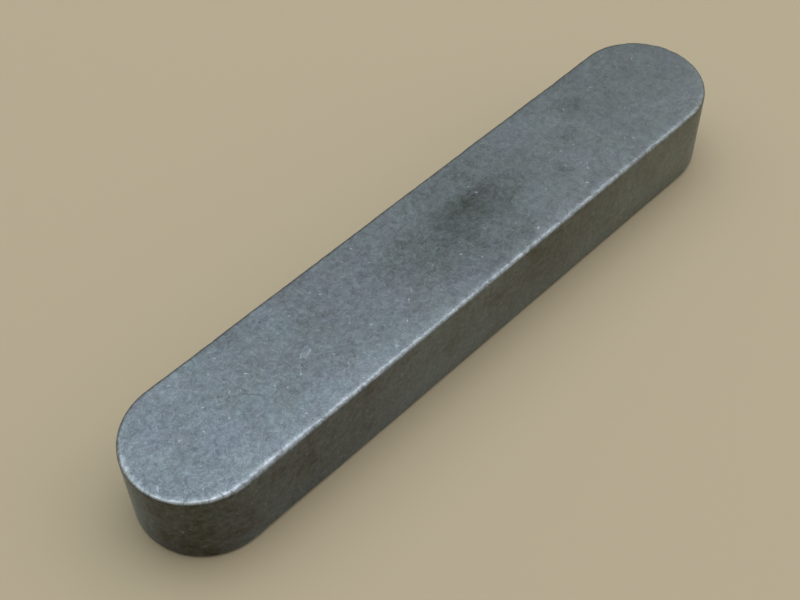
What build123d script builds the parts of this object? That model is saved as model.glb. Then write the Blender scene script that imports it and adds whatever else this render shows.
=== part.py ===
"""Parallel key with two round ends (form A), for a 12 mm wide keyway.

The key is one piece of drawn key steel. The bar gives it its two flanks, its
seat and its top face, a cutter as wide as the key gives it a full radius at
each end, and tumbling rounds both of its rims.

Frame, in millimetres: the origin is the centre of the seat, the flat face that
lies in the shaft's keyway. +X runs along the key and +Z runs up to the top face.
"""

from build123d import *
import os

# Driving dimensions.
KEY_WIDTH = 12.0  # across the flanks, which is the keyway's nominal width
KEY_HEIGHT = 8.0  # from the seat to the top face
KEY_LENGTH = 65.0  # over both round ends
EDGE_RADIUS = 0.4  # on the rims of the top face and of the seat

# A full radius takes up the whole width, so the ends follow the width.
END_RADIUS = KEY_WIDTH / 2
END_SPACING = KEY_LENGTH - 2 * END_RADIUS


def plan_outline() -> Sketch:
    """Return the key seen from above: two parallel flanks between two half circles."""
    return SlotCenterToCenter(END_SPACING, KEY_WIDTH)


def rims(blank: Part) -> ShapeList[Edge]:
    """Return the blank's edges round its seat and round its top face."""
    levels = blank.edges().group_by(Axis.Z)
    return levels[0] + levels[-1]


def parallel_key() -> Part:
    """Return the finished key: the plan raised to its height, with both rims rounded."""
    blank = extrude(plan_outline(), amount=KEY_HEIGHT)
    return fillet(rims(blank), radius=EDGE_RADIUS)


def main() -> None:
    """Write the key to parts/, as one STEP file for its one node."""
    os.makedirs("parts", exist_ok=True)
    key = parallel_key()
    key.label = "parallel_key"
    export_step(key, "parts/parallel_key.step")


main()
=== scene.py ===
"""A parallel key with two round ends, in tumbled key steel, on a pale studio floor.

The key is one bar. Its half section is swept once round the plan, and the skin that
this leaves is then worn as tumbling and handling wear it: rims rounded unevenly,
one shoulder worn more than the rest, faces that fall away a little towards the
rims, and small dents.

Lengths are in metres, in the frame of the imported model: the origin is the centre of
the seat, +X runs along the key and +Z runs up to the top face.
"""

import logging
import math
import random
from dataclasses import dataclass
from enum import Enum
from typing import Iterable

import bmesh
import bpy
from mathutils import Matrix, Vector, noise
from mathutils.kdtree import KDTree


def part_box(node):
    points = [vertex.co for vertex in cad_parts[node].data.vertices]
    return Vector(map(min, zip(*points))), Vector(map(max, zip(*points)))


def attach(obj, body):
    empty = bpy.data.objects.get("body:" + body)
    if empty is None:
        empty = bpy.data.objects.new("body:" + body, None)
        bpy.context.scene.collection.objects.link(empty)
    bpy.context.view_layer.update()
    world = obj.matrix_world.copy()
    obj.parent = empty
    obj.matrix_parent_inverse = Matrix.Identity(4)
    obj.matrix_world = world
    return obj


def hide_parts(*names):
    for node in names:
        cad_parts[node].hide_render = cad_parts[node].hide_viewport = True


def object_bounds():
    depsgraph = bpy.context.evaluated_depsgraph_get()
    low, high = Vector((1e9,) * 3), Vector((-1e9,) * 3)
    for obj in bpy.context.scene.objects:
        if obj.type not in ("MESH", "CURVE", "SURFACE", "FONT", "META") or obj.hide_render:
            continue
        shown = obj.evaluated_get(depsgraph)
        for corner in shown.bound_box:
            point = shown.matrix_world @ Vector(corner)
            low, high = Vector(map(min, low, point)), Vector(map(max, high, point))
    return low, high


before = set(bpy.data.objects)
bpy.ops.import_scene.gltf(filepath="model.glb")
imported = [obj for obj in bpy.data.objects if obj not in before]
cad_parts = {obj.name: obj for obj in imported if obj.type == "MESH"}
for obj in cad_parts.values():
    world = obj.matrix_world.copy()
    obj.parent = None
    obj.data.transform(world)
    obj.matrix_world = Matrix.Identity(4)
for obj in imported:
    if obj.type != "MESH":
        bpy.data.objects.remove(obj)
CAD_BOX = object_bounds()

LOG = logging.getLogger("parallel_key")
KEY_NODE = "parallel_key"
BODY = "root"

MM = 0.001
UP = Vector((0.0, 0.0, 1.0))

Socket = bpy.types.NodeSocket
Tree = bpy.types.NodeTree


def smooth_step(value: float) -> float:
    """Eases a value from 0 to 1, level at both ends.

    Args:
        value: The value to ease, held between 0 and 1 first.

    Returns:
        The eased value.
    """
    held = min(max(value, 0.0), 1.0)
    return held * held * (3.0 - 2.0 * held)


def linear(colour: str) -> tuple[float, float, float, float]:
    """Turns an sRGB hex colour into the linear colour that a shader takes.

    Args:
        colour: Six hex digits after a hash sign.

    Returns:
        Red, green and blue as linear light, and an alpha of 1.
    """
    parts = [int(colour[at : at + 2], 16) / 255 for at in (1, 3, 5)]
    red, green, blue = (p / 12.92 if p <= 0.04045 else ((p + 0.055) / 1.055) ** 2.4 for p in parts)
    return red, green, blue, 1.0


def add(tree: Tree, kind: str, inputs: dict, **settings: object) -> bpy.types.Node:
    """Adds a node with its settings and links.

    Args:
        tree: The node tree that gets it.
        kind: The shader node's type.
        inputs: What each input socket gets, by name or number: a value, or the output that feeds it.
        settings: The node's own properties.

    Returns:
        The new node.
    """
    made = tree.nodes.new("ShaderNode" + kind)
    for name, value in settings.items():
        setattr(made, name, value)
    for name, value in inputs.items():
        if isinstance(value, Socket):
            tree.links.new(value, made.inputs[name])
        else:
            made.inputs[name].default_value = value
    return made


class Skin(Enum):
    """The attributes that the key's mesh carries for its finish, by name."""

    FILM_AND_SHADING = "oxide"  # how much of the dark film a place has, 0 to 1; on the walls also painted shade and painted reflections
    POLISH_AND_HIGHLIGHT = "polish"  # how far a place is worn bright by knocks, 0 to 1, with the rim's painted highlight
    FLANK = "flank"  # 1 on the flanks and round ends, 0 on the top face and the seat


class Chart(Enum):
    """The parts of the key's own map, which is laid out in metres, by how far up each part lies."""

    TOP = 0.0
    WALL = 0.03
    SEAT = 0.06


@dataclass(frozen=True)
class Cloud:
    """A patch of deeper film on the top face or the walls, or of thinner film if its depth is negative.

    Its centre is given on the top face by x and y, and on the walls by how far round
    the plan and how far up it is. Reach is its half length and half width, and turn is
    the angle of its length from the first of the two, in degrees. On the walls, some
    patches are painted shade or painted reflection rather than film.
    """

    x: float
    y: float
    reach: tuple[float, float]
    turn: float
    depth: float

    @classmethod
    def rows(cls, rows: Iterable[tuple[float, ...]]) -> tuple["Cloud", ...]:
        """Makes clouds from rows of numbers, with lengths in millimetres.

        Args:
            rows: The centre's two numbers, the half length, the half width, the turn and the depth.

        Returns:
            The clouds.
        """
        return tuple(
            cls(x * MM, y * MM, (long * MM, wide * MM), turn, depth) for x, y, long, wide, turn, depth in rows
        )

    def at(self, place: Vector) -> float:
        """Gives how much the cloud adds to the film's depth at a place.

        Args:
            place: The place on the face or the walls, of which only the first two numbers count.

        Returns:
            The change, from 0 to the cloud's own depth.
        """
        away = Vector((place.x - self.x, place.y - self.y, 0.0))
        away.rotate(Matrix.Rotation(-math.radians(self.turn), 3, "Z"))
        far = math.hypot(away.x / self.reach[0], away.y / self.reach[1])
        return self.depth * math.exp(-far * far)


@dataclass(frozen=True)
class Mark:
    """A scratch, nick or pit: a bent, soft-edged sliver.

    Size is its half length and half width, strength is how far it changes the colour,
    and bend is how far its ends curve away, as a share of its half length. At is its
    place on the key's own map and turn is the angle of its length there, in degrees,
    for a mark that is placed one by one.
    """

    size: tuple[float, float]
    strength: float = 1.0
    bend: float = 0.0
    at: tuple[float, float] = (0.0, 0.0)
    turn: float = 0.0

    @classmethod
    def rows(cls, rows: Iterable[tuple[float, ...]], chart: Chart = Chart.TOP) -> tuple["Mark", ...]:
        """Makes marks from rows of numbers, with lengths in millimetres.

        Args:
            rows: The half length, half width, strength, bend, the place's two numbers and the turn.
            chart: The part of the key's own map that the places are on.

        Returns:
            The marks.
        """
        return tuple(
            cls((long * MM, wide * MM), strength, bend, (x * MM, y * MM + chart.value), turn)
            for long, wide, strength, bend, x, y, turn in rows
        )

    def drawn(self, tree: Tree, away: Socket, turn: Socket | float) -> Socket:
        """Draws the mark.

        Args:
            tree: The material's node tree.
            away: The way from the mark's middle to the place, on the key's own map.
            turn: How far to turn it, in radians.

        Returns:
            An output that is the mark's strength inside it and 0 elsewhere.
        """
        own = add(tree, "VectorRotate", {"Vector": away, "Angle": turn}, rotation_type="Z_AXIS")
        along = add(tree, "SeparateXYZ", {"Vector": own.outputs["Vector"]})
        u = add(tree, "Math", {0: along.outputs["X"], 1: self.size[0]}, operation="DIVIDE").outputs[0]
        u_squared = add(tree, "Math", {0: u, 1: u}, operation="MULTIPLY").outputs[0]
        curve = add(
            tree, "Math",
            {0: u_squared, 1: self.bend * self.size[0], 2: along.outputs["Y"]},
            operation="MULTIPLY_ADD",
        ).outputs[0]
        v = add(tree, "Math", {0: curve, 1: self.size[1]}, operation="DIVIDE").outputs[0]
        far = add(tree, "Math", {0: v, 1: v, 2: u_squared}, operation="MULTIPLY_ADD").outputs[0]
        return add(
            tree, "MapRange",
            {"Value": far, "From Min": 0.1, "From Max": 1.3, "To Min": self.strength, "To Max": 0.0},
            interpolation_type="SMOOTHSTEP",
        ).outputs["Result"]

    def placed(self, tree: Tree, skin: Socket) -> Socket:
        """Draws the mark at its own place and turn on the key's own map."""
        away = add(tree, "VectorMath", {0: skin, 1: (*self.at, 0.0)}, operation="SUBTRACT")
        return self.drawn(tree, away.outputs["Vector"], -math.radians(self.turn))


@dataclass(frozen=True)
class Scatter:
    """Copies of a mark, scattered over the key's own map.

    Attributes:
        spacing: Between copies, on average, before some are left out.
        mark: The mark.
        share: How many of the copies are kept, from 0 to 1.
    """

    spacing: float
    mark: Mark
    share: float

    def drawn(self, tree: Tree, skin: Socket) -> Socket:
        """Draws the copies, each turned its own way and a little larger or smaller.

        Args:
            tree: The material's node tree.
            skin: The place on the key's own map, in metres.

        Returns:
            An output that is the mark's strength inside a copy and 0 elsewhere.
        """
        cells = add(tree, "TexVoronoi", {"Vector": skin, "Scale": 1 / self.spacing}, voronoi_dimensions="2D")
        chance = add(tree, "SeparateColor", {0: cells.outputs["Color"]})
        away = add(tree, "VectorMath", {0: skin, 1: cells.outputs["Position"]}, operation="SUBTRACT")
        turn = add(tree, "Math", {0: chance.outputs["Red"], 1: 2 * math.pi}, operation="MULTIPLY")
        growth = add(tree, "MapRange", {"Value": chance.outputs["Green"], "To Min": 1.7, "To Max": 0.8})
        grown = add(
            tree, "VectorMath", {0: away.outputs["Vector"], "Scale": growth.outputs["Result"]}, operation="SCALE"
        )
        inside = self.mark.drawn(tree, grown.outputs["Vector"], turn.outputs["Value"])
        kept = add(tree, "Math", {0: chance.outputs["Blue"], 1: self.share}, operation="LESS_THAN")
        return add(tree, "Math", {0: inside, 1: kept.outputs["Value"]}, operation="MULTIPLY").outputs[0]


@dataclass
class KeyShape:
    """The key's shape before wear, and how a point of it is found on the plan.

    Attributes:
        length: Over both round ends.
        width: Across the flanks.
        height: From the seat to the top face.
        rim: The radius of both rims.
        rim_steps: Facets across a rim.
        pitch: The mesh's spacing along the key and on the top face and walls.
        seat_pitch: The mesh's spacing across the seat, which is seldom seen.
        end_steps: Facets round each round end.
    """

    length: float
    width: float
    height: float
    rim: float = 0.36 * MM
    rim_steps: int = 8
    pitch: float = 0.185 * MM
    seat_pitch: float = 0.4 * MM
    end_steps: int = 100

    @property
    def end_radius(self) -> float:
        """The radius of a round end, which takes up the whole width."""
        return self.width / 2

    @property
    def end_centre(self) -> float:
        """How far each round end's centre is from the key's middle."""
        return self.length / 2 - self.end_radius

    def half_section(self, bm: bmesh.types.BMesh) -> list:
        """Draws the half section at the +X end's centre, from the middle of the top face to that of the seat.

        Args:
            bm: The mesh that gets it.

        Returns:
            The section's vertices and edges.
        """
        corners = ((0.0, self.height), (self.end_radius, self.height), (self.end_radius, 0.0), (0.0, 0.0))
        points = [bm.verts.new((self.end_centre, y, z)) for y, z in corners]
        for pair in zip(points, points[1:]):
            bm.edges.new(pair)
        bmesh.ops.bevel(
            bm,
            geom=points[1:3],
            affect="VERTICES",
            offset=self.rim,
            offset_type="OFFSET",
            segments=self.rim_steps,
            profile=0.5,
            material=-1,
        )
        for edge in [e for e in bm.edges if e.calc_length() > self.rim]:
            pitch = self.seat_pitch if all(v.co.z < self.rim / 2 for v in edge.verts) else self.pitch
            bmesh.ops.subdivide_edges(bm, edges=[edge], cuts=round(edge.calc_length() / pitch) - 1)
        return [*bm.verts, *bm.edges]

    def sweep(self, bm: bmesh.types.BMesh) -> None:
        """Sweeps the half section once round the plan, and closes the skin.

        Args:
            bm: The mesh that gets it.
        """
        ring = self.half_section(bm)
        for side in (-1, 1):
            run = Vector((side * 2 * self.end_centre, 0.0, 0.0))
            centre = Vector((side * self.end_centre, 0.0, 0.0))
            along = bmesh.ops.spin(bm, geom=ring, cent=centre, axis=UP, dvec=run, angle=0.0, steps=1)
            around = bmesh.ops.spin(
                bm, geom=along["geom_last"], cent=centre, axis=UP, angle=math.pi, steps=self.end_steps
            )
            ring = around["geom_last"]
        bmesh.ops.remove_doubles(bm, verts=bm.verts, dist=self.rim / 500)
        straight = [e for e in bm.edges if e.calc_length() > self.end_centre]
        cuts = round(2 * self.end_centre / self.pitch) - 1
        bmesh.ops.subdivide_edges(bm, edges=straight, cuts=cuts, use_grid_fill=True)
        bmesh.ops.recalc_face_normals(bm, faces=bm.faces)

    def foot(self, place: Vector) -> Vector:
        """Gives the point of the key's centre line that is nearest to a place, level with the seat."""
        return Vector((min(max(place.x, -self.end_centre), self.end_centre), 0.0, 0.0))

    def way_out(self, place: Vector) -> Vector:
        """Gives the level line from the centre line out to a place, at its full length."""
        away = place - self.foot(place)
        away.z = 0.0
        return away

    def nose(self, place: Vector) -> float:
        """Gives how much a place belongs to the -X end's nose, from 0 to 1."""
        return smooth_step((-place.x - self.end_centre) / (self.end_radius / 2))

    def around(self, place: Vector) -> float:
        """Gives how far round the plan a place is, from the +Y flank's -X end and on past the +X end.

        Args:
            place: The place.

        Returns:
            The length of the plan's outline up to there.
        """
        out = self.way_out(place)
        turned = math.atan2(out.y, out.x)
        flank, end = 2 * self.end_centre, math.pi * self.end_radius
        if place.x > self.end_centre:
            return flank + self.end_radius * (math.pi / 2 - turned)
        if place.x < -self.end_centre:
            past = turned if turned < 0 else turned - 2 * math.pi
            return 2 * flank + end + self.end_radius * (-math.pi / 2 - past)
        return place.x + self.end_centre if out.y > 0 else flank + end + self.end_centre - place.x


@dataclass
class KeyWear:
    """How tumbling and handling have worn the key.

    Attributes:
        shape: The key before wear.
        uneven: How much a rim's radius varies, as a share of it.
        roll_reach: How far in from the outline the faces begin to fall away.
        roll_depth: How far they have fallen at the outline. The walls fall half as far.
        waves: The lengths of the rims' long and short unevenness.
        wave_shares: How much each of the two counts for.
        shoulder: How far round the plan the rim is worn most, and how far either way.
        shoulder_wear: How much larger the rim's radius is there, as a share of it.
        nose_keep: How much smaller it is at the -X end's nose, as a share of it.
        ripple: The height of the shallow unevenness that tumbling leaves.
        ripples: The share and the length of its broad waves, and of its narrow ones.
        dents: How many dents the faces and walls have.
        rim_dents: How many the two rims have.
        dent_reach: The least and greatest radius of a dent.
        face_dent_size: How large a face's dent is beside a rim's.
        dent_depths: The least and greatest depth of a face's dent, as a share of its radius.
        rim_dent_depths: The same for a rim's.
        on_ends: The share of the rims' dents that are on the round ends.
        rim_inset: How far in from the outline they are, as a share of the rim's radius.
        seed: Sets where the dents are.
    """

    shape: KeyShape
    uneven: float = 0.26
    roll_reach: float = 1.6 * MM
    roll_depth: float = 0.022 * MM
    waves: tuple[float, float] = (5 * MM, 0.8 * MM)
    wave_shares: tuple[float, float] = (0.6, 0.4)
    shoulder: tuple[float, float] = (122.2 * MM, 4.2 * MM)
    shoulder_wear: float = 0.5
    nose_keep: float = 0.12
    ripple: float = 0.0025 * MM
    ripples: tuple[tuple[float, float], ...] = ((0.9, 2.3 * MM), (0.5, 0.7 * MM))
    dents: int = 260
    rim_dents: int = 420
    dent_reach: tuple[float, float] = (0.2, 0.45)  # in millimetres
    face_dent_size: float = 0.85
    dent_depths: tuple[float, float] = (0.008, 0.028)
    rim_dent_depths: tuple[float, float] = (0.015, 0.062)
    on_ends: float = 0.3
    rim_inset: float = 0.15
    seed: int = 16

    def shoulder_share(self, place: Vector) -> float:
        """Gives how much a place belongs to the worn shoulder, from 0 to 1."""
        past = (self.shape.around(place) - self.shoulder[0]) / self.shoulder[1]
        return math.exp(-past * past)

    def rim_radius(self, place: Vector) -> float:
        """Gives a rim's radius near a place: smaller at the -X end's nose, larger at the worn shoulder.

        Args:
            place: The place.

        Returns:
            The radius.
        """
        s = self.shape
        edge = s.foot(place) + s.way_out(place).normalized() * s.end_radius
        edge.z = place.z
        long_way, short_way = (
            share * noise.noise(edge / wave) for share, wave in zip(self.wave_shares, self.waves)
        )
        worn = self.shoulder_wear * self.shoulder_share(edge) - self.nose_keep * s.nose(edge)
        return s.rim * (1.0 + worn + self.uneven * (long_way + short_way))

    def reshaped(self, place: Vector) -> Vector:
        """Moves a point of the key to where it is with its rims unevenly rounded.

        Args:
            place: The point before wear.

        Returns:
            The point with its rim's own radius, and with the faces and walls drawn up to it.
        """
        s = self.shape
        out = s.way_out(place)
        distance = out.length
        if distance < s.rim / 100:
            return place.copy()
        level = Vector((place.x, place.y, s.height if place.z > s.height / 2 else 0.0))
        radius = self.rim_radius(level)
        flat, half = s.end_radius - s.rim, s.height / 2 - s.rim
        up, rise = (1.0 if place.z > s.height / 2 else -1.0), abs(place.z - s.height / 2)
        new_flat, new_half = s.end_radius - radius, s.height / 2 - radius
        if distance > flat:
            distance = new_flat + (distance - flat) * radius / s.rim
        else:
            distance *= new_flat / flat
        if rise > half:
            rise = new_half + (rise - half) * radius / s.rim
        else:
            rise *= new_half / half
        moved = s.foot(place) + out.normalized() * distance
        moved.z = s.height / 2 + up * rise
        return moved

    def rolled(self, place: Vector) -> Vector:
        """Lets the faces and walls fall away towards the rims.

        Args:
            place: The point with its rim rounded.

        Returns:
            The point, sunk by its share of the fall.
        """
        s = self.shape
        out = s.way_out(place)
        near_edge = max(0.0, 1 - (s.end_radius - out.length) / self.roll_reach)
        near_face = max(0.0, 1 - (s.height / 2 - abs(place.z - s.height / 2)) / self.roll_reach)
        middle = s.height / 2
        lifted = middle + (place.z - middle) * (1 - self.roll_depth * near_edge**2 / middle)
        shrunk = s.foot(place) + out * (1 - self.roll_depth / s.end_radius / 2 * near_face**2)
        return Vector((shrunk.x, shrunk.y, lifted))

    def rippled(self, place: Vector, normal: Vector) -> Vector:
        """Sinks a point by the shallow unevenness there, against the way that the skin faces."""
        sunk = sum(share * (noise.noise(place / wave) + 1) for share, wave in self.ripples)
        return place - normal * (self.ripple * sunk / 2)

    def dent(self, bm: bmesh.types.BMesh) -> None:
        """Presses the dents into the skin.

        Args:
            bm: The key's mesh.
        """
        s = self.shape
        draw = random.Random(self.seed)
        bm.verts.ensure_lookup_table()
        tree = KDTree(len(bm.verts))
        for at, vert in enumerate(bm.verts):
            tree.insert(vert.co, at)
        tree.balance()
        for number in range(self.dents + self.rim_dents):
            on_rim = number >= self.dents
            spot = self.rim_spot(draw) if on_rim else self.face_spot(draw)
            _, nearest, _ = tree.find(spot)
            middle = bm.verts[nearest].co.copy()
            inward = -bm.verts[nearest].normal.copy()
            reach = draw.uniform(*self.dent_reach) * MM * (1.0 if on_rim else self.face_dent_size)
            depth = reach * draw.uniform(*(self.rim_dent_depths if on_rim else self.dent_depths))
            for place, at, away in tree.find_range(middle, reach):
                bm.verts[at].co = bm.verts[at].co + inward * (depth * (1 - (away / reach) ** 2) ** 2)
        for vert in bm.verts:
            vert.co.z = min(max(vert.co.z, 0.0), s.height)

    def rim_spot(self, draw: random.Random) -> Vector:
        """Picks a place on one of the two rims.

        Args:
            draw: The source of the random numbers.

        Returns:
            The place.
        """
        s = self.shape
        turned, run = draw.uniform(0, 2 * math.pi), draw.uniform(-1, 1) * s.end_centre
        if draw.random() < self.on_ends:
            out = Vector((math.cos(turned), math.sin(turned), 0.0))
            run = math.copysign(s.end_centre, out.x)
        else:
            out = Vector((0.0, draw.choice((-1, 1)), 0.0))
        height = draw.choice((0.0, s.height))
        return Vector((run, 0.0, height)) + out * (s.end_radius - self.rim_inset * s.rim)

    def face_spot(self, draw: random.Random) -> Vector:
        """Picks a place on the faces or the walls.

        Args:
            draw: The source of the random numbers.

        Returns:
            The place.
        """
        s = self.shape
        height = draw.choice((0.0, s.height, draw.uniform(0, s.height)))
        across = s.end_radius * draw.uniform(-1, 1)
        if 0 < height < s.height:
            across = math.copysign(s.end_radius, across)
        return Vector((draw.uniform(-0.5, 0.5) * s.length, across, height))

    def wear(self, bm: bmesh.types.BMesh) -> None:
        """Wears the whole skin.

        Args:
            bm: The key's mesh.
        """
        for vert in bm.verts:
            vert.co = self.rolled(self.reshaped(vert.co))
        bm.normal_update()
        moved = [self.rippled(vert.co, vert.normal) for vert in bm.verts]
        for vert, place in zip(bm.verts, moved):
            vert.co = place
        bm.normal_update()
        self.dent(bm)
        bm.normal_update()


@dataclass(frozen=True)
class TumbledKeySteel:
    """Bright-drawn key steel (C45), tumbled in a vibrating tub with stones.

    Tumbling leaves a soft grey satin with no grain of its own: thousands of tiny
    overlapping knocks that each catch the light a little differently. The rims are
    knocked smooth and shine more, partly from a painted highlight. Handling and storage
    add a thin dark film in soft clouds, a few bright nicks where the metal is bare, small
    dark pits, and hairline scratches. The walls keep faint upright lines from the cutter.
    """

    scratches: tuple[Mark, ...]
    scores: tuple[Mark, ...]
    face: str = "#717C81"  # the satin grey, slightly blue
    film: str = "#444B48"  # oxide and dried oil
    bare: str = "#C5D3DC"  # fresh metal in nicks, and on the rims, where it is also a painted highlight
    pit: str = "#33332F"
    wall: str = "#838F99"  # the faces' steel, painted lighter for the light that falls on the walls
    wall_film: str = "#4D4B3B"  # the film on the walls, which is browner
    near_hue: str = "#F7F8FF"
    far_hue: str = "#FDFBFA"
    far_wall_hue: str = "#FFF9E8"  # the same on the walls, warmer
    reach: float = 28 * MM  # how far each way from the middle the hue and the texture go on changing
    knock: float = 0.55 * MM  # the widest of the knocks' mottle
    patch: float = 3.2 * MM  # the widest of the film's drifts
    upright: float = 0.38 * MM  # between the cutter's lines
    texture: tuple[float, float] = (1.14, 0.74)  # its strength at the handled -X end and at the other
    wall_texture: float = 0.8  # the same on the walls, which are marked evenly
    knocks: Scatter = Scatter(0.24 * MM, Mark((0.12 * MM, 0.035 * MM), 0.26), 0.6)
    hairs: Scatter = Scatter(0.85 * MM, Mark((0.45 * MM, 0.032 * MM), 0.32, 0.22), 0.7)
    nicks: Scatter = Scatter(1.7 * MM, Mark((0.15 * MM, 0.055 * MM), 0.31, 0.15), 0.5)
    pits: Scatter = Scatter(1.6 * MM, Mark((0.08 * MM, 0.055 * MM), 0.5), 0.5)
    roughness: float = 0.46
    rim_roughness: float = 0.42
    film_dulling: float = 0.06  # what the film adds to either
    knock_height: float = 0.012 * MM
    line_height: float = 0.003 * MM
    pit_depth: float = 0.012 * MM

    def material(self) -> bpy.types.Material:
        """Builds the finish.

        Returns:
            The material.
        """
        made = bpy.data.materials.new("tumbled_key_steel")
        made.use_nodes = True
        tree = made.node_tree
        tree.nodes.clear()
        nodes = SteelNodes(self, tree)
        film, pits = nodes.film_depth(), nodes.marks(self.pits, self.scores)
        skin = {
            "Base Color": nodes.colour(film, pits),
            "Metallic": 1.0,
            "Roughness": nodes.gloss(film),
            "Normal": nodes.relief(pits),
        }
        steel = add(tree, "BsdfPrincipled", skin)
        add(tree, "OutputMaterial", {"Surface": steel.outputs["BSDF"]})
        return made


@dataclass
class SteelNodes:
    """The nodes of the tumbled key steel, part by part.

    The parts share these outputs: skin, the place on the key's own map; along, how far
    towards +X it is; the mesh's three attributes: the film, which on the walls also holds
    painted shade and painted reflections, the burnish with the rim's painted highlight, and
    flank; and the patterns mottle, drift, tint and lines.
    """

    finish: TumbledKeySteel
    tree: Tree

    def __post_init__(self) -> None:
        """Reads the key's attributes and draws the patterns that the finish's parts share."""
        tree, finish = self.tree, self.finish
        place = add(tree, "TexCoord", {}).outputs["Object"]
        self.skin = add(tree, "UVMap", {}, uv_map=KeyBar.MAP).outputs["UV"]
        self.along = add(tree, "SeparateXYZ", {"Vector": place}).outputs["X"]
        self.oxide, self.polish, self.flank = (
            add(tree, "Attribute", {}, attribute_name=kind.value).outputs["Fac"]
            for kind in (Skin.FILM_AND_SHADING, Skin.POLISH_AND_HIGHLIGHT, Skin.FLANK)
        )
        # The knocks' mottle, nearly even in strength from the widest down to a tenth of a millimetre.
        self.mottle = add(
            tree, "TexNoise",
            {"Vector": place, "Scale": 1 / finish.knock, "Detail": 2.0, "Roughness": 0.9, "Distortion": 0.5},
        ).outputs["Fac"]
        drifting = add(
            tree, "TexNoise", {"Vector": place, "Scale": 1 / finish.patch, "Detail": 2.5, "Roughness": 0.75}
        )
        self.drift = drifting.outputs["Fac"]
        self.tint = add(
            tree, "MapRange",
            {"Vector": drifting.outputs["Color"], 7: (0.3,) * 3, 8: (0.7,) * 3, 9: (0.975,) * 3, 10: (1.025,) * 3},
            data_type="FLOAT_VECTOR",
        ).outputs["Vector"]
        # The cutter's upright lines are nearly the same from the seat to the top.
        drawn_out = add(
            tree, "Mapping", {"Vector": place, "Scale": (1.0, 1.0, 0.12)}, vector_type="POINT"
        ).outputs["Vector"]
        self.lines = add(
            tree, "TexNoise", {"Vector": drawn_out, "Scale": 1 / finish.upright, "Detail": 3.0, "Roughness": 0.7}
        ).outputs["Fac"]

    def marks(self, scattered: Scatter, placed: tuple[Mark, ...]) -> Socket:
        """Draws scattered marks together with marks placed one by one.

        Args:
            scattered: The scattered marks.
            placed: The marks placed one by one.

        Returns:
            An output that is a mark's strength inside it and 0 elsewhere.
        """
        most = scattered.drawn(self.tree, self.skin)
        for mark in placed:
            own = mark.placed(self.tree, self.skin)
            most = add(self.tree, "Math", {0: most, 1: own}, operation="MAXIMUM").outputs[0]
        return most

    def fresh_marks(self) -> Socket:
        """Draws the nicks and scratches that show bare metal, broken up into flecks by the knocks.

        Returns:
            An output that is a mark's strength inside it and 0 elsewhere.
        """
        fresh = self.marks(self.finish.nicks, self.finish.scratches)
        flecks = add(
            self.tree, "MapRange",
            {"Value": self.mottle, "From Min": 0.4, "From Max": 0.6, "To Min": 0.15, "To Max": 1.35},
        ).outputs["Result"]
        return add(self.tree, "Math", {0: fresh, 1: flecks}, operation="MULTIPLY").outputs[0]

    def film_depth(self) -> Socket:
        """Works out how deep the dark film is, with its drift and where the knocks break it up.

        Returns:
            An output from 0, bare, to 1, which on the walls also holds painted shade and painted reflections.
        """
        tree = self.tree
        clouded = add(
            tree, "MapRange",
            {"Value": self.drift, "From Min": 0.3, "From Max": 0.7, "To Min": -0.09, "To Max": 0.09},
        ).outputs["Result"]
        # Grime that has gathered in smudges on the walls.
        smudges = add(
            tree, "MapRange",
            {"Value": self.drift, "From Min": 0.56, "From Max": 0.72, "To Min": 0.0, "To Max": 0.15},
            interpolation_type="SMOOTHSTEP",
        ).outputs["Result"]
        clouded = add(tree, "Math", {0: smudges, 1: self.flank, 2: clouded}, operation="MULTIPLY_ADD").outputs[0]
        broken = add(
            tree, "MapRange",
            {"Value": self.mottle, "From Min": 0.35, "From Max": 0.65, "To Min": 1.1, "To Max": 0.9},
        ).outputs["Result"]
        return add(
            tree, "Math", {0: self.oxide, 1: broken, 2: clouded}, operation="MULTIPLY_ADD", use_clamp=True
        ).outputs[0]

    def filmed(self, film: Socket) -> Socket:
        """Colours the steel under its film, with its hue along the key.

        Args:
            film: How deep the dark film is.

        Returns:
            The colour, before any texture.
        """
        tree, finish = self.tree, self.finish
        # On the walls the steel's colour is painted lighter, for the light that falls on them.
        tone, film_tone, far_end_hue = (
            add(
                tree, "Mix", {"Factor": self.flank, 6: linear(on_faces), 7: linear(on_walls)}, data_type="RGBA"
            ).outputs[2]
            for on_faces, on_walls in (
                (finish.face, finish.wall), (finish.film, finish.wall_film), (finish.far_hue, finish.far_wall_hue)
            )
        )
        dark = add(tree, "Mix", {"Factor": film, 6: tone, 7: film_tone}, data_type="RGBA").outputs[2]
        tinted = add(tree, "VectorMath", {0: dark, 1: self.tint}, operation="MULTIPLY").outputs["Vector"]
        # The hue shifts from slightly blue at the -X end to slightly warm towards the +X end.
        towards_far_end = add(
            tree, "MapRange", {"Value": self.along, "From Min": -finish.reach, "From Max": finish.reach}
        ).outputs["Result"]
        hue = add(
            tree, "Mix", {"Factor": towards_far_end, 6: linear(finish.near_hue), 7: far_end_hue}, data_type="RGBA"
        ).outputs[2]
        return add(tree, "VectorMath", {0: tinted, 1: hue}, operation="MULTIPLY").outputs["Vector"]

    def shade(self) -> Socket:
        """Works out how much lighter or darker the mottle, knocks and hairlines make a place.

        Returns:
            An output to multiply the colour by, about 1.
        """
        tree, finish = self.tree, self.finish
        small, thin = (marks.drawn(tree, self.skin) for marks in (finish.knocks, finish.hairs))
        strokes = add(tree, "Math", {0: small, 1: thin}, operation="MAXIMUM").outputs[0]
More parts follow.
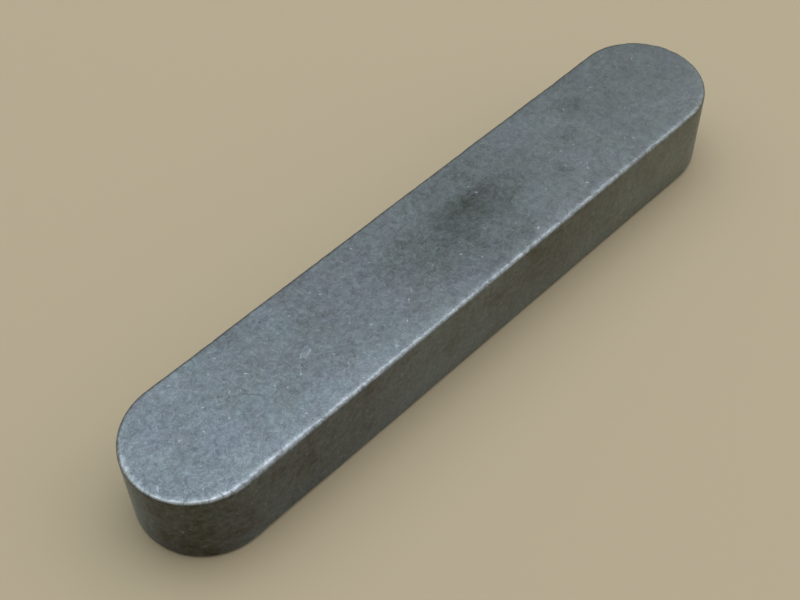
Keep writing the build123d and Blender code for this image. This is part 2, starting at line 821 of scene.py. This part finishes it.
        # The -X end has been handled more, so its texture is stronger.
        reach, (near, far) = finish.reach, finish.texture
        handled = add(
            tree, "MapRange",
            {"Value": self.along, "From Min": -reach, "From Max": reach, "To Min": near, "To Max": far},
        ).outputs["Result"]
        strength = add(
            tree, "Mix", {"Factor": self.flank, 2: handled, 3: finish.wall_texture}, data_type="FLOAT"
        ).outputs[0]
        spread = add(
            tree, "MapRange",
            {"Value": self.mottle, "From Min": 0.25, "From Max": 0.75, "To Min": -0.23, "To Max": 0.26},
        ).outputs["Result"]
        spread = add(tree, "Math", {0: spread, 1: strokes}, operation="ADD").outputs[0]
        return add(tree, "Math", {0: spread, 1: strength, 2: 1.0}, operation="MULTIPLY_ADD").outputs[0]

    def colour(self, film: Socket, pits: Socket) -> Socket:
        """Colours the whole skin: steel under film with its hue along the key, then its texture, bare metal and
        pits.

        Args:
            film: How deep the dark film is.
            pits: Where the dark marks are.

        Returns:
            The colour.
        """
        tree, finish = self.tree, self.finish
        mottled = add(
            tree, "VectorMath", {0: self.filmed(film), "Scale": self.shade()}, operation="SCALE"
        ).outputs["Vector"]
        line_tone = add(
            tree, "MapRange",
            {"Value": self.lines, "From Min": 0.3, "From Max": 0.7, "To Min": 0.97, "To Max": 1.03},
        ).outputs["Result"]
        lined = add(tree, "Mix", {"Factor": self.flank, 2: 1.0, 3: line_tone}, data_type="FLOAT").outputs[0]
        walled = add(tree, "VectorMath", {0: mottled, "Scale": lined}, operation="SCALE").outputs["Vector"]
        # The knocks leave the rim's burnish grainy. The bare metal mixed in on the rim is partly a painted
        # highlight.
        grain = add(
            tree, "MapRange",
            {"Value": self.mottle, "From Min": 0.35, "From Max": 0.65, "To Min": 0.18, "To Max": 0.68},
        ).outputs["Result"]
        worn = add(
            tree, "Math", {0: self.polish, 1: grain, 2: self.fresh_marks()}, operation="MULTIPLY_ADD"
        ).outputs[0]
        nicked = add(tree, "Mix", {"Factor": worn, 6: walled, 7: linear(finish.bare)}, data_type="RGBA").outputs[2]
        return add(tree, "Mix", {"Factor": pits, 6: nicked, 7: linear(finish.pit)}, data_type="RGBA").outputs[2]

    def gloss(self, film: Socket) -> Socket:
        """Works out the roughness: smoother rims where they are worn, dull film, and a shift from knock to knock.

        Args:
            film: How deep the dark film is.

        Returns:
            The roughness.
        """
        tree = self.tree
        satin = add(
            tree, "MapRange",
            {"Value": self.polish, "To Min": self.finish.roughness, "To Max": self.finish.rim_roughness},
        ).outputs["Result"]
        dulled = add(
            tree, "Math", {0: film, 1: self.finish.film_dulling, 2: satin}, operation="MULTIPLY_ADD"
        ).outputs[0]
        shift = add(
            tree, "MapRange",
            {"Value": self.mottle, "From Min": 0.3, "From Max": 0.7, "To Min": 0.04, "To Max": -0.04},
        ).outputs["Result"]
        return add(tree, "Math", {0: dulled, 1: shift}, operation="ADD", use_clamp=True).outputs[0]

    def relief(self, pits: Socket) -> Socket:
        """Raises the knocks and the walls' lines, and sinks the pits.

        Args:
            pits: Where the dark marks are.

        Returns:
            The normal.
        """
        tree = self.tree
        knocked = add(
            tree, "Bump", {"Height": self.mottle, "Distance": self.finish.knock_height, "Strength": 1.0}
        ).outputs["Normal"]
        cut = add(tree, "Math", {0: self.lines, 1: self.flank}, operation="MULTIPLY").outputs[0]
        ridged = add(
            tree, "Bump", {"Height": cut, "Distance": self.finish.line_height, "Normal": knocked}
        ).outputs["Normal"]
        return add(
            tree, "Bump", {"Height": pits, "Distance": self.finish.pit_depth, "Normal": ridged}, invert=True
        ).outputs["Normal"]


@dataclass(frozen=True)
class RimPolishAndHighlight:
    """How far knocks and handling have worn the top rim bright, with a painted highlight laid on it.

    A lean is how far the rim has turned from the top face to the wall, in degrees. The painted
    highlight is strongest at the -X end's nose, weaker on the +Y side and towards the +X end, and
    shaped by lean to sit where the rim catches the light.
    """

    shape: KeyShape
    wear: KeyWear
    most: float = 0.62  # along the flanks
    nose_gain: float = 1.64  # how much more at the -X end's nose
    shoulder: float = 0.12  # how far the worn shoulder is like the nose
    back: float = 2 * MM  # from where the +Y side is duller, and over how far
    back_loss: float = 0.75
    fresh_from: float = 6 * MM  # from where the +X end is duller
    fresh_over: float = 14 * MM
    fresh_loss: float = 0.35
    start: float = 0.35  # the share of it where the rim begins, along the flanks
    rise: float = 40  # the lean that adds 1 to that share
    nose_start: tuple[float, float] = (0.2, 0.22)  # the same at the nose, and what its +Y side adds
    nose_side: float = 3 * MM  # over how far its two sides blend
    nose_rise: float = 28
    end: tuple[float, float] = (72, 10)  # the lean where it ends, and how much sooner at the nose
    fade: float = 24  # the lean over which it ends
    inward: float = 0.4 * MM  # how far in from the rim the face is burnished

    def behind(self, place: Vector) -> float:
        """Gives how much a place belongs to the +Y side, from 0 to 1."""
        return smooth_step(self.shape.way_out(place).y / self.back - 1)

    def at(self, place: Vector, out: float, lean: float) -> float:
        """Gives the burnish of the top face or its rim at a place, with the rim's painted highlight.

        Args:
            place: The place, before wear.
            out: How far it is out past where the rim begins.
            lean: How far the rim has turned there, in degrees.

        Returns:
            The burnish with its painted highlight, which is above 1 where the burnish is strongest.
        """
        s = self.shape
        handled = max(s.nose(place), self.shoulder * self.wear.shoulder_share(place))
        sideways = smooth_step(s.way_out(place).y / self.nose_side + 0.5)
        first = self.nose_start[0] + self.nose_start[1] * sideways
        if out > 0:
            at_flank, at_nose = self.start + lean / self.rise, first + (lean / self.nose_rise) ** 2
            rising = at_flank * (1 - handled) + at_nose * handled
            share = min(rising, (self.end[0] - self.end[1] * handled - lean) / self.fade)
        else:
            share = (self.start * (1 - handled) + first * handled) * (1 + out / self.inward)
        fresher = smooth_step((place.x - self.fresh_from) / self.fresh_over)
        most = (self.most + self.nose_gain * handled) * (1 - self.back_loss * self.behind(place))
        return most * (1 - self.fresh_loss * fresher) * smooth_step(share)


@dataclass
class KeyBar:
    """The key: its worn skin, its map, what the finish reads from it, and its finish."""

    shape: KeyShape
    wear: KeyWear
    finish: TumbledKeySteel
    clouds: tuple[Cloud, ...]
    wall_film_and_shading: tuple[Cloud, ...]
    film: float = 0.3  # how deep the film is on the faces, away from the clouds
    back_film: float = 0.25  # how much deeper it is on the +Y side's rim
    back_lean: float = 45  # where it is so, in degrees from the top face
    flank_film: float = 0.42  # how deep it is on the walls

    MAP = "key_skin"

    def build(self) -> bpy.types.Object:
        """Builds the key's mesh and dresses it.

        Returns:
            The finished piece, riding on the body.
        """
        bm = bmesh.new()
        self.shape.sweep(bm)
        self.mark_skin(bm)
        self.lay_map(bm)
        self.wear.wear(bm)
        for face in bm.faces:
            face.smooth = True
        mesh = bpy.data.meshes.new("key_bar")
        bm.to_mesh(mesh)
        bm.free()
        mesh.materials.append(self.finish.material())
        piece = bpy.data.objects.new("key_bar", mesh)
        bpy.context.scene.collection.objects.link(piece)
        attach(piece, BODY)
        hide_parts(KEY_NODE)
        return piece

    def mark_skin(self, bm: bmesh.types.BMesh) -> None:
        """Writes what the finish reads: the film's depth, which on the walls also holds painted shade and painted
        reflections; the burnish with the rim's painted highlight; and which faces are walls.

        Args:
            bm: The key's mesh, before wear.
        """
        s = self.shape
        polish = RimPolishAndHighlight(s, self.wear)
        layers = {kind: bm.verts.layers.float.new(kind.value) for kind in Skin}
        for vert in bm.verts:
            out = s.way_out(vert.co).length - (s.end_radius - s.rim)
            rise = abs(vert.co.z - s.height / 2) - (s.height / 2 - s.rim)
            lean = math.degrees(math.atan2(max(out, 0.0), max(rise, 1e-9)))
            wall = smooth_step(0.5 + (out - rise) / s.rim)
            top = self.film + self.back_film * polish.behind(vert.co) * smooth_step(lean / self.back_lean)
            burnish_and_highlight = 0.0
            if vert.co.z > s.height / 2:
                top += sum(cloud.at(vert.co) for cloud in self.clouds)
                # The rim's burnish, with its painted highlight.
                burnish_and_highlight = polish.at(vert.co, out, lean) if rise > 0 else 0.0
            run = Vector((s.around(vert.co), vert.co.z, 0.0))
            # The walls' film, which holds their painted shade and painted reflections.
            side = self.flank_film + sum(cloud.at(run) for cloud in self.wall_film_and_shading)
            vert[layers[Skin.POLISH_AND_HIGHLIGHT]] = burnish_and_highlight
            vert[layers[Skin.FLANK]] = wall
            vert[layers[Skin.FILM_AND_SHADING]] = top * (1 - wall) + side * wall

    def lay_map(self, bm: bmesh.types.BMesh) -> None:
        """Lays the skin out flat and in metres, with the top, the walls and the seat apart.

        Args:
            bm: The key's mesh, before wear.
        """
        s = self.shape
        layer = bm.loops.layers.uv.new(self.MAP)
        whole = 4 * s.end_centre + 2 * math.pi * s.end_radius
        for face in bm.faces:
            if abs(face.normal.z) > math.cos(math.pi / 4):
                up = Chart.TOP.value if face.normal.z > 0 else Chart.SEAT.value
                for loop in face.loops:
                    loop[layer].uv = (loop.vert.co.x, loop.vert.co.y + up)
                continue
            runs = [s.around(loop.vert.co) for loop in face.loops]
            wraps = max(runs) - min(runs) > whole / 2
            for loop, run in zip(face.loops, runs):
                run += whole if wraps and run < whole / 2 else 0.0
                loop[layer].uv = (run, loop.vert.co.z + Chart.WALL.value)


@dataclass(frozen=True)
class Softbox:
    """A round softbox that faces the key, by the way to it.

    Bearing is the level angle from +X, and lean is how far it hangs away from
    straight overhead, both in degrees. Power is in watts.
    """

    name: str
    bearing: float
    lean: float
    power: float
    colour: str
    away: float = 1.2
    size: float = 1.15

    def hang(self) -> bpy.types.Object:
        """Hangs the softbox.

        Returns:
            The lamp.
        """
        data = bpy.data.lights.new(self.name, "AREA")
        data.shape = "DISK"
        data.size = self.size
        data.energy = self.power
        data.color = linear(self.colour)[:3]
        lamp = bpy.data.objects.new(self.name, data)
        lean, bearing = math.radians(self.lean), math.radians(self.bearing)
        way = Vector((math.sin(lean) * math.cos(bearing), math.sin(lean) * math.sin(bearing), math.cos(lean)))
        lamp.location = way * self.away
        lamp.rotation_euler = way.to_track_quat("Z", "Y").to_euler()
        lamp.visible_camera = False
        bpy.context.scene.collection.objects.link(lamp)
        return lamp


@dataclass
class Studio:
    """A plain pale floor in a plain pale room, under a broad ring of softboxes.

    Attributes:
        reach: The floor's half width.
        gap: How far below the seat it lies.
        floor: The floor's colour.
        room: The room's colour, which is its light as well.
        softboxes: The lamps.
    """

    reach: float = 2.0
    gap: float = 0.01 * MM
    floor: str = "#B0A890"
    room: str = "#A29B90"
    softboxes: tuple[Softbox, ...] = (
        Softbox("overhead", 0.0, 0.0, 3.15, "#FDFBFF"),
        Softbox("left", 106.0, 28.0, 3.25, "#F2FBFF"),
        Softbox("behind", 46.0, 28.0, 2.15, "#F8F9FF"),
        Softbox("far_end", -14.0, 28.0, 3.75, "#FFF8FC"),
        Softbox("low_far_end", 1.0, 60.0, 0.8, "#FFFFFD"),
        Softbox("low_right", -44.0, 60.0, 2.2, "#FFFCFC"),
    )

    def lay_floor(self) -> bpy.types.Object:
        """Lays the floor just under the seat.

        Returns:
            The floor.
        """
        bm = bmesh.new()
        bmesh.ops.create_grid(bm, x_segments=1, y_segments=1, size=self.reach)
        bmesh.ops.translate(bm, verts=bm.verts, vec=(0.0, 0.0, CAD_BOX[0].z - self.gap))
        mesh = bpy.data.meshes.new("floor")
        bm.to_mesh(mesh)
        bm.free()
        made = bpy.data.materials.new("plain_card")
        made.use_nodes = True
        shader = made.node_tree.nodes["Principled BSDF"]
        shader.inputs["Base Color"].default_value = linear(self.floor)
        shader.inputs["Roughness"].default_value = 0.9
        shader.inputs["Specular IOR Level"].default_value = 0.2
        mesh.materials.append(made)
        floor = bpy.data.objects.new("floor", mesh)
        bpy.context.scene.collection.objects.link(floor)
        return floor

    def light(self) -> None:
        """Hangs the softboxes in the pale room."""
        for softbox in self.softboxes:
            softbox.hang()
        world = bpy.data.worlds.new("pale_room")
        world.use_nodes = True
        world.node_tree.nodes["Background"].inputs["Color"].default_value = linear(self.room)
        bpy.context.scene.world = world
        bpy.context.scene.view_settings.view_transform = "Standard"


@dataclass
class Viewpoint:
    """The camera, above and beyond the key's -X end, on its -Y side.

    Attributes:
        target: The point that it looks at.
        distance: How far off it is.
        bearing: The level angle from +X to the way from the key to the camera, in degrees.
        elevation: How high the camera is above the level, in degrees.
        roll: How far its top leans clockwise, in degrees.
        lens: Its focal length, in millimetres.
    """

    target: tuple[float, float, float] = (-2.3 * MM, 2.66 * MM, 0.0)
    distance: float = 118.57 * MM
    bearing: float = -134.05
    elevation: float = 51.25
    roll: float = -1.71
    lens: float = 60.64

    def place(self) -> bpy.types.Object:
        """Places the camera and makes it the scene's own.

        Returns:
            The camera.
        """
        data = bpy.data.cameras.new("camera")
        data.lens = self.lens
        data.clip_start = 0.01
        camera = bpy.data.objects.new("camera", data)
        flat, high = math.radians(self.bearing), math.radians(self.elevation)
        back = Vector((math.cos(flat) * math.cos(high), math.sin(flat) * math.cos(high), math.sin(high)))
        turn = back.to_track_quat("Z", "Y").to_matrix() @ Matrix.Rotation(math.radians(self.roll), 3, "Z")
        camera.location = Vector(self.target) + back * self.distance
        camera.rotation_euler = turn.to_euler()
        bpy.context.scene.collection.objects.link(camera)
        bpy.context.scene.camera = camera
        return camera


# Where the top face's film is deeper, or thinner where the depth is negative.
TOP_CLOUDS = Cloud.rows((
    (4.1, 1.6, 4.4, 1.5, -4, 0.5),
    (5.2, 1.8, 1.2, 0.8, 0, 0.14),
    (3.2, -0.5, 4.6, 1.4, 0, 0.34),
    (-2.5, 0.2, 3.4, 2.6, 0, 0.22),
    (1.5, -5, 3.2, 1, 0, 0.16),
    (3, -2.9, 5.5, 1.6, 0, 0.24),
    (6.3, -4.3, 1.6, 0.8, 0, 0.22),
    (-6, 2.4, 5, 2.8, 0, 0.1),
    (5, 4.6, 4, 1, 0, 0.3),
    (20, 2.6, 1.3, 1.5, 0, 0.18),
    (16.5, 0.3, 0.7, 0.6, 0, 0.22),
    (24.6, 1.9, 4.6, 4.5, 0, 0.08),
    (-13.2, 0.6, 1.3, 1.1, 30, 0.15),
    (13.4, -2.1, 0.8, 0.6, 60, 0.2),
    (9.4, 0.6, 2.4, 1.6, 0, 0.16),
    (7.6, -1, 2.2, 0.9, 0, 0.14),
    (9, 4, 1.6, 1.2, 0, 0.12),
    (-1.5, -2.2, 2, 0.8, 0, 0.1),
    (-6.2, -1.5, 1.3, 1.2, 0, -0.1),
    (-26, 1, 6.5, 6, 0, -0.16),
    (-26, -4.8, 6, 2.2, 0, -0.2),
    (-30.5, 1.5, 2, 3.5, 0, -0.2),
    (-26, 5.2, 3, 1.4, 0, -0.2),
    (-14.5, -5.2, 6, 1.4, 0, -0.28),
    (-5.5, -5.4, 3, 1.2, 0, -0.12),
    (8.5, -5.4, 3, 1.2, 0, -0.14),
    (28.5, -3.5, 3, 1.8, 0, -0.15),
))

# Patches on the walls, by how far round the plan and how far up they are: darker where the
# depth is positive, lighter where it is negative. Along the foot all round the walls are
# lightened as a painted reflection of the bright floor. Where the -X end faces the camera
# they are darkened as painted shade, for the shadowed floor that they reflect. Where
# that end faces -X and a little +Y they are lightened as a painted reflection of the lit
# floor. The rest make the -Y flank mostly darker towards the -X end and lighter towards
# the +X end, and the top of the walls a little darker.
WALL_FILM_AND_SHADING = Cloud.rows((
    # Painted reflection of the bright floor: lighter along the foot all round.
    (90, 0, 200, 3, 0, -0.42),
    (120, 0, 9, 2.5, 0, 0.18),
    (79, 0, 14, 2.4, 0, -0.2),
    (90, 8, 200, 2.2, 0, 0.04),
    # Painted shade: darker where the -X end faces the camera, for the shadowed floor that it reflects.
    (129.2, 5, 4.4, 6, 0, 0.42),
    (131, 0.5, 3.8, 2.6, 0, 0.46),
    (129.5, 7.8, 3.5, 1, 0, 0.06),
    (119, 4, 6, 7, 0, 0.12),
    # Painted reflection of the lit floor: lighter where the -X end faces -X and a little +Y.
    (136.9, 4, 2.3, 12, 0, -0.65),
    (104, 4, 6, 12, 0, -0.14),
    (91.5, 5, 3, 5, 0, 0.1),
    (76.5, 3, 7, 6, 0, -0.28),
))

# Fresh scratches on the top face.
SCRATCHES = Mark.rows((
    (1.8, 0.3, 0.06, 0, -16.3, -0.8, 34),
    (0.5, 0.08, 0.26, 0.1, -17.1, -1.4, 48),
    (0.5, 0.07, 0.26, -0.1, -16.6, -0.8, 26),
    (0.4, 0.1, 0.26, 0.1, -16.1, -0.3, 40),
    (0.45, 0.08, 0.22, -0.1, -15.4, -0.5, 24),
    (0.35, 0.07, 0.2, 0.1, -15.1, 0.3, 36),
    (0.45, 0.08, 0.26, 0.2, -6.5, -2.6, -50),
    (0.3, 0.06, 0.26, 0.2, -6.3, -2.5, 40),
    (0.4, 0.09, 0.26, 0.1, -25, 4.9, -40),
    (0.35, 0.12, 0.3, 0.1, -31.4, -1.6, 60),
    (0.5, 0.07, 0.3, 0.1, 13.5, -4.4, -40),
    (0.2, 0.08, 0.36, 0.1, 13.9, -1.8, 80),
    (0.22, 0.1, 0.34, 0.1, 6.8, -4.9, 20),
))

# Old dark scores and pits: five on the top face, then five on the walls.
SCORES = Mark.rows((
    (1.5, 0.05, 0.42, 0.12, -21.1, -0.3, -52),
    (0.12, 0.1, 0.6, 0, -16.1, 4.5, 0),
    (0.12, 0.08, 0.6, 0, 2.1, -3.1, 0),
    (0.12, 0.08, 0.55, 0, 8.1, -4.6, 30),
    (0.25, 0.18, 0.35, 0, -30.1, -3.6, 0),
)) + Mark.rows((
    (1.2, 0.1, 0.34, -0.2, 116.2, 5.5, -44),
    (0.35, 0.16, 0.4, 0, 116.7, 5.2, -50),
    (0.7, 0.16, 0.3, 0.1, 90.1, 7.2, 4),
    (0.25, 0.15, 0.4, 0, 107.4, 6.9, 20),
    (0.14, 0.1, 0.45, 0, 99.5, 3.5, 0),
), Chart.WALL)


def cad_sizes() -> tuple[float, float, float]:
    """Gives the key's sizes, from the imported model.

    Returns:
        Its length, width and height.
    """
    low, high = (Vector(corner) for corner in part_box(KEY_NODE))
    return tuple(high - low)


def report(pieces: Iterable[bpy.types.Object]) -> None:
    """Reports each piece's size.

    Args:
        pieces: The pieces to report.
    """
    for piece in pieces:
        triangles = sum(len(face.vertices) - 2 for face in piece.data.polygons)
        LOG.info("%s: %d triangles, %s mm", piece.name, triangles, [round(d / MM, 3) for d in piece.dimensions])


def main() -> None:
    """Builds the studio, the camera and the key in that order."""
    logging.basicConfig(level=logging.INFO, format="%(name)s: %(message)s")
    studio = Studio()
    floor = studio.lay_floor()
    studio.light()
    Viewpoint().place()
    length, width, height = cad_sizes()
    shape = KeyShape(length, width, height)
    finish = TumbledKeySteel(SCRATCHES, SCORES)
    key = KeyBar(shape, KeyWear(shape), finish, TOP_CLOUDS, WALL_FILM_AND_SHADING).build()
    report((floor, key))


if __name__ == "__main__":
    main()
